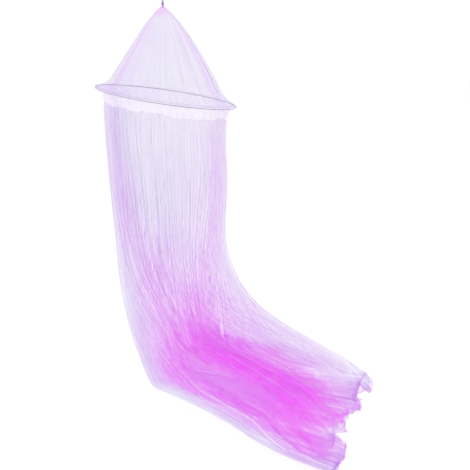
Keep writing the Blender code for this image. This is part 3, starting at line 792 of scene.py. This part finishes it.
tube = round_profile(WIRE_RADIUS, WIRE_POINTS)
hoop_turn = turns(HOOP_RINGS)[:, None]
hoop_rings = rings_at(HOOP_RADIUS + tube[:, 0], hoop_turn, tube[:, 1]) + HOOP_CENTRE
hoop = swept_piece(
    "wire_hoop", dipped(hoop_rings, HOOP_CENTRE, 1.0), length=2 * math.pi * HOOP_RADIUS,
    girth=2 * math.pi * WIRE_RADIUS, closed=True,
)
print(f"hoop: {2 * HOOP_RADIUS * 1000:.0f} mm across, of {2 * WIRE_RADIUS * 1000:.1f} mm wire")

# %% Lay the cord's loop and its two knots
CORD_RADIUS = 0.0012
CORD_WAIST = 0.20  # how much narrower it is where its two strands meet
LOOP_WIDTH, LOOP_HEIGHT = 0.018, 0.060
LOOP_OPEN = math.radians(160)  # how far round an oval the loop goes, each way from its top
LEG_PINCH = 0.3  # the power that draws its legs together
CORD_LAY = 0.008  # metres for one turn of the strands
STEM_RADIUS = 0.0017
# A knot's profile: the way along it and the radius there. Then its slanting ridges: how many, how
# high as a share of the radius, their slant in radians for each metre, and where they begin.
KNOT = (
    (0.0000, STEM_RADIUS), (0.0008, 0.0027), (0.0032, 0.0036), (0.0058, 0.0027), (0.0068, 0.0008),
)
RIDGES, RIDGE_HEIGHT, RIDGE_SLANT, RIDGES_BEGIN = 3, 0.10, 900, (0.0, 0.002)
KNOT_STARTS = (NECK_TOP + 0.0008, APEX - 0.0015)  # the upper knot grows up from here, the lower down
STEM_ENDS = (NECK_TOP + 0.0018, APEX - 0.0025)  # inside the two knots
KNOT_FLAT, STEM_FLAT = (0.008, 0.020), (0.020, 0.010)  # length and girth of their UV maps
CORD_POINTS, LOOP_RINGS, STEM_RINGS = 16, 220, 12
KNOT_POINTS, KNOT_RINGS = 36, 40


def strands(count, radius, turn_by):
    """A cord's profile at each point: round, pinched twice where its two strands meet, and turned."""
    around = turns(count)
    bulge = radius * (1 - CORD_WAIST + CORD_WAIST * np.abs(np.cos(around)))
    angle = around[None, :] + turn_by[:, None]
    return np.stack([bulge * np.cos(angle), bulge * np.sin(angle)], axis=2)


opening = np.linspace(-LOOP_OPEN, LOOP_OPEN, LOOP_RINGS)
aside = LOOP_WIDTH / 2 * np.sin(opening) * np.cos(opening / 2) ** LEG_PINCH
height = CORD_RADIUS - LOOP_HEIGHT * (1 - np.cos(opening)) / 2
loop_path = np.stack([aside, 0 * opening, height], axis=1)
travelled = np.concatenate([[0], np.cumsum(np.linalg.norm(np.diff(loop_path, axis=0), axis=1))])
twisted = strands(CORD_POINTS, CORD_RADIUS, 2 * math.pi * travelled / CORD_LAY)
cord_rings = swept(loop_path, twisted, (0, 1, 0))
cord_loop = swept_piece("cord_loop", cord_rings, length=travelled[-1], girth=2 * math.pi * CORD_RADIUS)
print(f"cord: {travelled[-1] * 1000:.0f} mm round the loop")


def knot_piece(name, start, way):
    """A knot: the profile's bulge round the stem, with the cord's turns as slanting ridges on it."""
    rise = np.linspace(0, KNOT[-1][0], KNOT_RINGS)[:, None]
    radius = np.interp(rise, *np.array(KNOT).T)
    turn = turns(KNOT_POINTS)
    ridge = RIDGE_HEIGHT * np.cos(RIDGES * turn + RIDGE_SLANT * rise) * rounded(*RIDGES_BEGIN, rise)
    rings = rings_at(radius * (1 + ridge), turn, start + way * rise)
    return swept_piece(name, rings, length=KNOT_FLAT[0], girth=KNOT_FLAT[1])


upper_knot = knot_piece("upper_knot", KNOT_STARTS[0], 1)
lower_knot = knot_piece("lower_knot", KNOT_STARTS[1], -1)
stem_path = np.linspace((0, 0, STEM_ENDS[0]), (0, 0, STEM_ENDS[1]), STEM_RINGS)
stem_rings = swept(stem_path, round_profile(STEM_RADIUS, CORD_POINTS), (1, 0, 0))
stem = swept_piece("cord_stem", stem_rings, length=STEM_FLAT[0], girth=STEM_FLAT[1])

# %% Wind the whipping
THREAD_RADIUS = 0.0009
THREAD_THIN = 0.94  # the share of it that is drawn, so that neighbouring turns don't touch
WHIPPING_TURNS = 7
WHIPPING_RADIUS = 0.004375  # from the axis to the thread's middle
WHIPPING_LENGTH = 0.2
THREAD_POINTS, RINGS_IN_TURN = 8, 60

wound = np.linspace(0, 2 * math.pi * WHIPPING_TURNS, RINGS_IN_TURN * WHIPPING_TURNS)
top = (NECK_TOP + APEX) / 2 + WHIPPING_TURNS * THREAD_RADIUS
across, ahead = WHIPPING_RADIUS * np.cos(wound), WHIPPING_RADIUS * np.sin(wound)
helix = np.stack([across, ahead, top - THREAD_RADIUS * wound / math.pi], axis=1)
thread_profile = round_profile(THREAD_THIN * THREAD_RADIUS, THREAD_POINTS)
whipping_rings = swept(helix, thread_profile, helix * (1, 1, 0))
whipping = swept_piece(
    "whipping_thread", whipping_rings, length=WHIPPING_LENGTH, girth=2 * math.pi * THREAD_RADIUS
)
print("whipping:", WHIPPING_TURNS, "turns of", round(2000 * THREAD_RADIUS, 1), "mm thread")

# %% [markdown]
# ## Finishes
#
# Net is mostly holes. At the distance from which a whole canopy is seen, each layer is a thin veil
# that covers a share of what is behind it, so the net's material is an ordinary matt surface with
# an alpha below one. The mesh says how large that share is at each point. Three things vary it: the
# weave, in real millimetres on the flat cloth; soft clouds of slightly closer net; and narrow
# streaks, where threads are drawn together. Where many layers lie in little room the veil closes,
# and its colour is moved to a stronger pink, painted light bounced between the layers, while thin
# net gets a greyer colour, painted shade.

# %% Shader helpers
NUMBER, VECTOR = "NodeSocketFloat", "NodeSocketVector"


def fill(tree, node, values):
    """Numbers set on a node's inputs, and sockets linked to them, by name. _ stands for a space."""
    for label, value in values.items():
        socket = node.inputs[label.replace("_", " ")]
        if isinstance(value, bpy.types.NodeSocket):
            tree.links.new(value, socket)
        else:
            socket.default_value = value
    return node


def new_group(name, inputs, outputs):
    """An empty shader node group, from its inputs' (name, type, default) and its outputs' names."""
    group = bpy.data.node_groups.new(name, "ShaderNodeTree")
    for label, kind, value in inputs:
        socket = group.interface.new_socket(label, in_out="INPUT", socket_type=kind)
        if value is not None:
            socket.default_value = value
    for label in outputs:
        group.interface.new_socket(label, in_out="OUTPUT", socket_type=NUMBER)
    return group, group.nodes.new("NodeGroupInput").outputs, group.nodes.new("NodeGroupOutput")


def use_group(tree, group, **values):
    """The outputs of a group placed in a tree, with these values for its inputs."""
    node = tree.nodes.new("ShaderNodeGroup")
    node.node_tree = group
    return fill(tree, node, values).outputs


def math_node(tree, operation, first, second=None, third=None):
    """A Math node's output. Each value is a number or a socket."""
    node = tree.nodes.new("ShaderNodeMath")
    node.operation = operation
    for slot, value in enumerate((first, second, third)):
        if isinstance(value, bpy.types.NodeSocket):
            tree.links.new(value, node.inputs[slot])
        elif value is not None:
            node.inputs[slot].default_value = value
    return node.outputs[0]


def sine_stripes(tree, value, radians):
    """Stripes from 0 to 1: a half, and half of the sine of the value times radians."""
    sine = math_node(tree, "SINE", math_node(tree, "MULTIPLY", value, radians))
    return math_node(tree, "MULTIPLY_ADD", sine, 0.5, 0.5)


def texture(tree, kind, place, **values):
    """A texture's node, of a kind such as Noise."""
    return fill(tree, tree.nodes.new("ShaderNodeTex" + kind), {"Vector": place, **values})


def flat_place(tree):
    """Where a point lies on the flat cloth, in metres."""
    node = tree.nodes.new("ShaderNodeUVMap")
    node.uv_map = "cloth"
    return node.outputs["UV"]


def point_value(tree, name):
    """The value that the mesh keeps for each of its points under a name."""
    node = tree.nodes.new("ShaderNodeAttribute")
    node.attribute_name = name
    return node.outputs["Fac"]


def mixed(tree, first, second, share):
    """The colour that lies a share of the way from the first to the second."""
    node = tree.nodes.new("ShaderNodeMix")
    node.data_type = "RGBA"
    fill(tree, node, {"A": (*first, 1), "B": (*second, 1), "Factor": share})
    return node.outputs["Result"]


def bumped(tree, height, strength, depth):
    """The normal of a surface raised by a height of 0 to 1 times a depth in metres, at a strength."""
    node = tree.nodes.new("ShaderNodeBump")
    fill(tree, node, {"Height": height, "Strength": strength, "Distance": depth})
    return node.outputs["Normal"]


def new_material(name, rough, **constants):
    """A material's tree and its Principled BSDF, with constants set on the shader's own sockets."""
    material = bpy.data.materials.new(name)
    material.use_nodes = True
    tree = material.node_tree
    surface = fill(tree, tree.nodes["Principled BSDF"], {"Roughness": rough, **constants})
    return material, tree, surface


print("shader helpers ready")

# %% The net weave group: threads, clouds and streaks from flat cloth coordinates
HOLE_HEIGHT, THREAD_WIDTH, THREAD_SOFT = 0.8, 0.12, 0.3  # the first two as shares of a hole's width
STREAKS = (55.0, 1.1, 1.0)  # how often in a metre they change: often across the cloth, seldom down it
STREAK_RANGE = (0.38, 0.68)  # the noise's values where a streak begins and where it is full

weave, weave_in, weave_out = new_group(
    "net_weave",
    [("Cloth", VECTOR, None), ("Mesh Size", NUMBER, 0.0016), ("Cloud Size", NUMBER, 0.12)],
    ["Threads", "Cloud", "Gathers"],
)
scaled = weave.nodes.new("ShaderNodeVectorMath")
scaled.operation = "SCALE"
weave.links.new(weave_in["Cloth"], scaled.inputs[0])
weave.links.new(math_node(weave, "DIVIDE", 1.0, weave_in["Mesh Size"]), scaled.inputs["Scale"])
cells = texture(  # rows of holes, each row moved by half a hole
    weave, "Brick", scaled.outputs[0], Scale=1.0, Mortar_Size=THREAD_WIDTH, Mortar_Smooth=THREAD_SOFT,
    Brick_Width=1.0, Row_Height=HOLE_HEIGHT,
)
clouds_in_metre = math_node(weave, "DIVIDE", 1.0, weave_in["Cloud Size"])
cloud = texture(weave, "Noise", weave_in["Cloth"], Detail=3.0, Scale=clouds_in_metre)
drawn = weave.nodes.new("ShaderNodeVectorMath")  # long narrow streaks that run down the cloth
drawn.operation = "MULTIPLY"
drawn.inputs[1].default_value = STREAKS
weave.links.new(weave_in["Cloth"], drawn.inputs[0])
streak = texture(weave, "Noise", drawn.outputs[0], Scale=1.0, Detail=4.0, Roughness=0.6)
sharp = fill(weave, weave.nodes.new("ShaderNodeMapRange"), {
    "Value": streak.outputs["Fac"], "From Min": STREAK_RANGE[0], "From Max": STREAK_RANGE[1],
})
fill(weave, weave_out, {
    "Threads": cells.outputs["Fac"], "Cloud": cloud.outputs["Fac"], "Gathers": sharp.outputs["Result"],
})
print("group made:", weave.name)

# %% The line group: a narrow line at one place, or repeated, across the cloth
lines, lines_in, lines_out = new_group(
    "sewn_line",
    [("Place", NUMBER, 0.0), ("Repeat", NUMBER, 1.0), ("Offset", NUMBER, 0.0), ("Width", NUMBER, 0.004)],
    ["Line"],
)
moved = math_node(lines, "SUBTRACT", lines_in["Place"], lines_in["Offset"])
off_line = math_node(lines, "PINGPONG", moved, math_node(lines, "MULTIPLY", lines_in["Repeat"], 0.5))
half_width = math_node(lines, "MULTIPLY", lines_in["Width"], 0.5)
fill(lines, lines_out, {"Line": math_node(lines, "LESS_THAN", off_line, half_width)})
print("group made:", lines.name)

# %% The net material
NET_HOLE, NET_CLOUD = 0.0016, 0.16  # the width of a hole, and the size of a cloud
SEAM_WIDTH, SEAM_COVER = 0.004, 0.04
HEM_WIDTH, HEM_COVER = 0.006, 0.14
# How the weave changes a point's cover: each output's weight, and what is added to it.
COVER_FACTORS = {"Threads": (0.8, 0.76), "Gathers": (0.6, 0.76), "Cloud": (0.8, 0.60)}
STREAK_SHADING, EVEN_SHADING = 0.15, 0.06  # how far a streak moves the colour towards the full colour's painted bounced light, and what comes off all over for it
SHADOW_LOSS = 0.8  # the share of the net's cover that shadows and bounced light don't meet


def net_material(name, thin, full, seams, joins):
    """Net whose cover is each point's own, and whose colour goes from thin to full with its gather:
    the thin colour is painted shade, and the full one is painted light bounced in deep stacks.

    The cover is multiplied by the threads, the streaks and the clouds, and the seams and the hem
    are added. Shadows and bounced light meet a fifth of it, since light glows through fine thread.
    """
    material, tree, surface = new_material(
        name, 0.85, Specular_IOR_Level=0.15, Sheen_Weight=0.25, Sheen_Roughness=0.6,
        Sheen_Tint=(1.0, 0.86, 1.0, 1),
    )
    cloth = flat_place(tree)
    net = use_group(tree, weave, Cloth=cloth, Mesh_Size=NET_HOLE, Cloud_Size=NET_CLOUD)
    # The colour mix is painted shading: the thin colour paints the shade of sparse net, the full colour
    # the light bounced in deep stacks.
    shading_mix = math_node(tree, "MULTIPLY_ADD", net["Gathers"], STREAK_SHADING, point_value(tree, "gather"))
    shading_mix = math_node(tree, "SUBTRACT", shading_mix, EVEN_SHADING)
    veil = point_value(tree, "cover")
    for label, (weight, rest) in COVER_FACTORS.items():
        factor = math_node(tree, "MULTIPLY_ADD", net[label], weight, rest)
        veil = math_node(tree, "MULTIPLY", veil, factor)
    split = fill(tree, tree.nodes.new("ShaderNodeSeparateXYZ"), {"Vector": cloth}).outputs
    sewn = math_node(tree, "MULTIPLY", math_node(tree, "LESS_THAN", split["Y"], HEM_WIDTH), HEM_COVER)
    for place, (repeat, offset) in ((split["X"], seams), (split["Y"], joins)):
        line = use_group(tree, lines, Place=place, Repeat=repeat, Offset=offset, Width=SEAM_WIDTH)
        sewn = math_node(tree, "MAXIMUM", sewn, math_node(tree, "MULTIPLY", line["Line"], SEAM_COVER))
    veil = math_node(tree, "ADD", veil, sewn)
    light = tree.nodes.new("ShaderNodeLightPath").outputs
    unseen = math_node(tree, "MAXIMUM", light["Is Shadow Ray"], light["Is Diffuse Ray"])
    veil = math_node(tree, "MULTIPLY", veil, math_node(tree, "MULTIPLY_ADD", unseen, -SHADOW_LOSS, 1.0))
    veil = math_node(tree, "MINIMUM", veil, 1.0)
    fill(tree, surface, {"Base Color": mixed(tree, thin, full, shading_mix), "Alpha": veil})
    return material


# The thin colours are the net's own with painted shade, greyer; the full colours are a stronger pink,
# painted light bounced between stacked layers.
THIN_NET, FULL_NET = (0.27, 0.15, 0.64), (0.81, 0.09, 0.88)
THIN_ROOF, FULL_ROOF = (0.27, 0.16, 0.64), (0.70, 0.16, 0.90)
# Seams run down the cloth and joins across it: how far apart, and where the first one is.
SKIRT_SEAMS, SKIRT_JOINS = (2.2, 0.35), (3.0, 1.27)
ROOF_SEAMS, ROOF_JOINS = (0.65, 0.10), (9.0, 4.0)

skirt.data.materials.append(net_material("skirt_net", THIN_NET, FULL_NET, SKIRT_SEAMS, SKIRT_JOINS))
roof.data.materials.append(net_material("roof_net", THIN_ROOF, FULL_ROOF, ROOF_SEAMS, ROOF_JOINS))
print("net finishes:", skirt.data.materials[0].name, roof.data.materials[0].name)

# %% [markdown]
# Lace is closer than net: threads fill most of it, in little flowers with eyelets between them. A
# Voronoi texture gives the flowers, one in each cell: its distance output is small in the middle
# of a cell and large at its border, and a sine of that distance makes rings of thread and holes.

# %% The lace material
FLOWERS_IN_METRE, FLOWERS_UNEVEN = 110.0, 0.35
RING_RADIANS = 22.0  # how fast the rings follow one another on the way out from a flower's middle
RING_COVER, HOLE_COVER = 0.40, 0.22  # what a ring of thread adds to the cover of the holes

lace, tree, surface = new_material("white_lace", 0.8, Specular_IOR_Level=0.2, Sheen_Weight=0.3)
flowers = texture(
    tree, "Voronoi", flat_place(tree), Scale=FLOWERS_IN_METRE, Randomness=FLOWERS_UNEVEN
)
rings = sine_stripes(tree, flowers.outputs["Distance"], RING_RADIANS)
fill(tree, surface, {
    "Base Color": (0.97, 0.95, 1.0, 1),
    "Alpha": math_node(tree, "MULTIPLY_ADD", rings, RING_COVER, HOLE_COVER),
    "Normal": bumped(tree, rings, 0.4, 0.0006),
})
frill.data.materials.append(lace)
print("lace:", FLOWERS_IN_METRE, "flowers in a metre")

# %% [markdown]
# The wire is coated, so it has the even gloss of plastic with slight scuffs. Cord and thread share
# one group: slanting stripes along the piece's own length are the fibres of its strands. They raise
# the surface as a bump, and the darker colour in their grooves is painted shade.

# %% The fibre group, and the finishes of wire, cord and thread
FIBRES_IN_LAY = 6  # how many fibres pass in the length in which the strands make one turn
FIBRE_SLANT = 1.5

fibres, fibres_in, fibres_out = new_group(
    "twisted_fibres",
    [("Cloth", VECTOR, None), ("Lay", NUMBER, 0.008), ("Slant", NUMBER, 1.0)],
    ["Fibres"],
)
parts = fill(fibres, fibres.nodes.new("ShaderNodeSeparateXYZ"), {"Vector": fibres_in["Cloth"]}).outputs
slanted = math_node(fibres, "MULTIPLY_ADD", parts["X"], fibres_in["Slant"], parts["Y"])
lays = math_node(fibres, "DIVIDE", slanted, fibres_in["Lay"])
fill(fibres, fibres_out, {"Fibres": sine_stripes(fibres, lays, 2 * math.pi * FIBRES_IN_LAY)})


def fibre_material(name, groove_shade, light, lay):
    """Cord or thread: stripes along the twist raise it, and their grooves get a painted shade colour."""
    material, tree, surface = new_material(name, 0.75, Sheen_Weight=0.3)
    stripes = use_group(tree, fibres, Cloth=flat_place(tree), Lay=lay, Slant=FIBRE_SLANT)["Fibres"]
    normal = bumped(tree, stripes, 0.5, 0.0002)
    # The darker colour where the stripes are low is painted shade in the grooves.
    fill(tree, surface, {"Base Color": mixed(tree, groove_shade, light, stripes), "Normal": normal})
    return material


# The first colour of each is the painted shade in the fibres' grooves.
cord_finish = fibre_material("mauve_cord", (0.30, 0.15, 0.36), (0.62, 0.42, 0.68), CORD_LAY)
thread_finish = fibre_material("mauve_thread", (0.26, 0.13, 0.32), (0.52, 0.34, 0.60), CORD_LAY / 2)
for piece in (cord_loop, upper_knot, lower_knot, stem):
    piece.data.materials.append(cord_finish)
whipping.data.materials.append(thread_finish)

wire, tree, surface = new_material("coated_wire", 0.3, Coat_Weight=0.3, Coat_Roughness=0.2)
place = tree.nodes.new("ShaderNodeTexCoord").outputs["Object"]
scuffs = texture(tree, "Noise", place, Scale=7.0, Detail=4.0).outputs["Fac"]
fill(tree, surface, {
    "Base Color": mixed(tree, (0.24, 0.21, 0.30), (0.62, 0.56, 0.74), scuffs),
    "Roughness": math_node(tree, "MULTIPLY_ADD", scuffs, 0.3, 0.2),
})
hoop.data.materials.append(wire)
print("materials:", ", ".join(sorted(m.name for m in bpy.data.materials)))

# %% [markdown]
# ## Hand the pieces to the frame
#
# Each piece rides on the model's one body and stands for its imported solid, which is hidden.

# %% Attach the pieces
PIECES = {
    "skirt": ([skirt], "skirt_net"), "roof_net": ([roof], "roof_net"), "frill": ([frill], "lace"),
    "hoop": ([hoop], "wire"), "hanging_loop": ([cord_loop, stem, upper_knot, lower_knot], "cord"),
    "whipping": ([whipping], "thread"),
}
for node, (pieces, slot) in PIECES.items():
    for piece in pieces:
        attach(piece, "root")
    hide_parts(node)
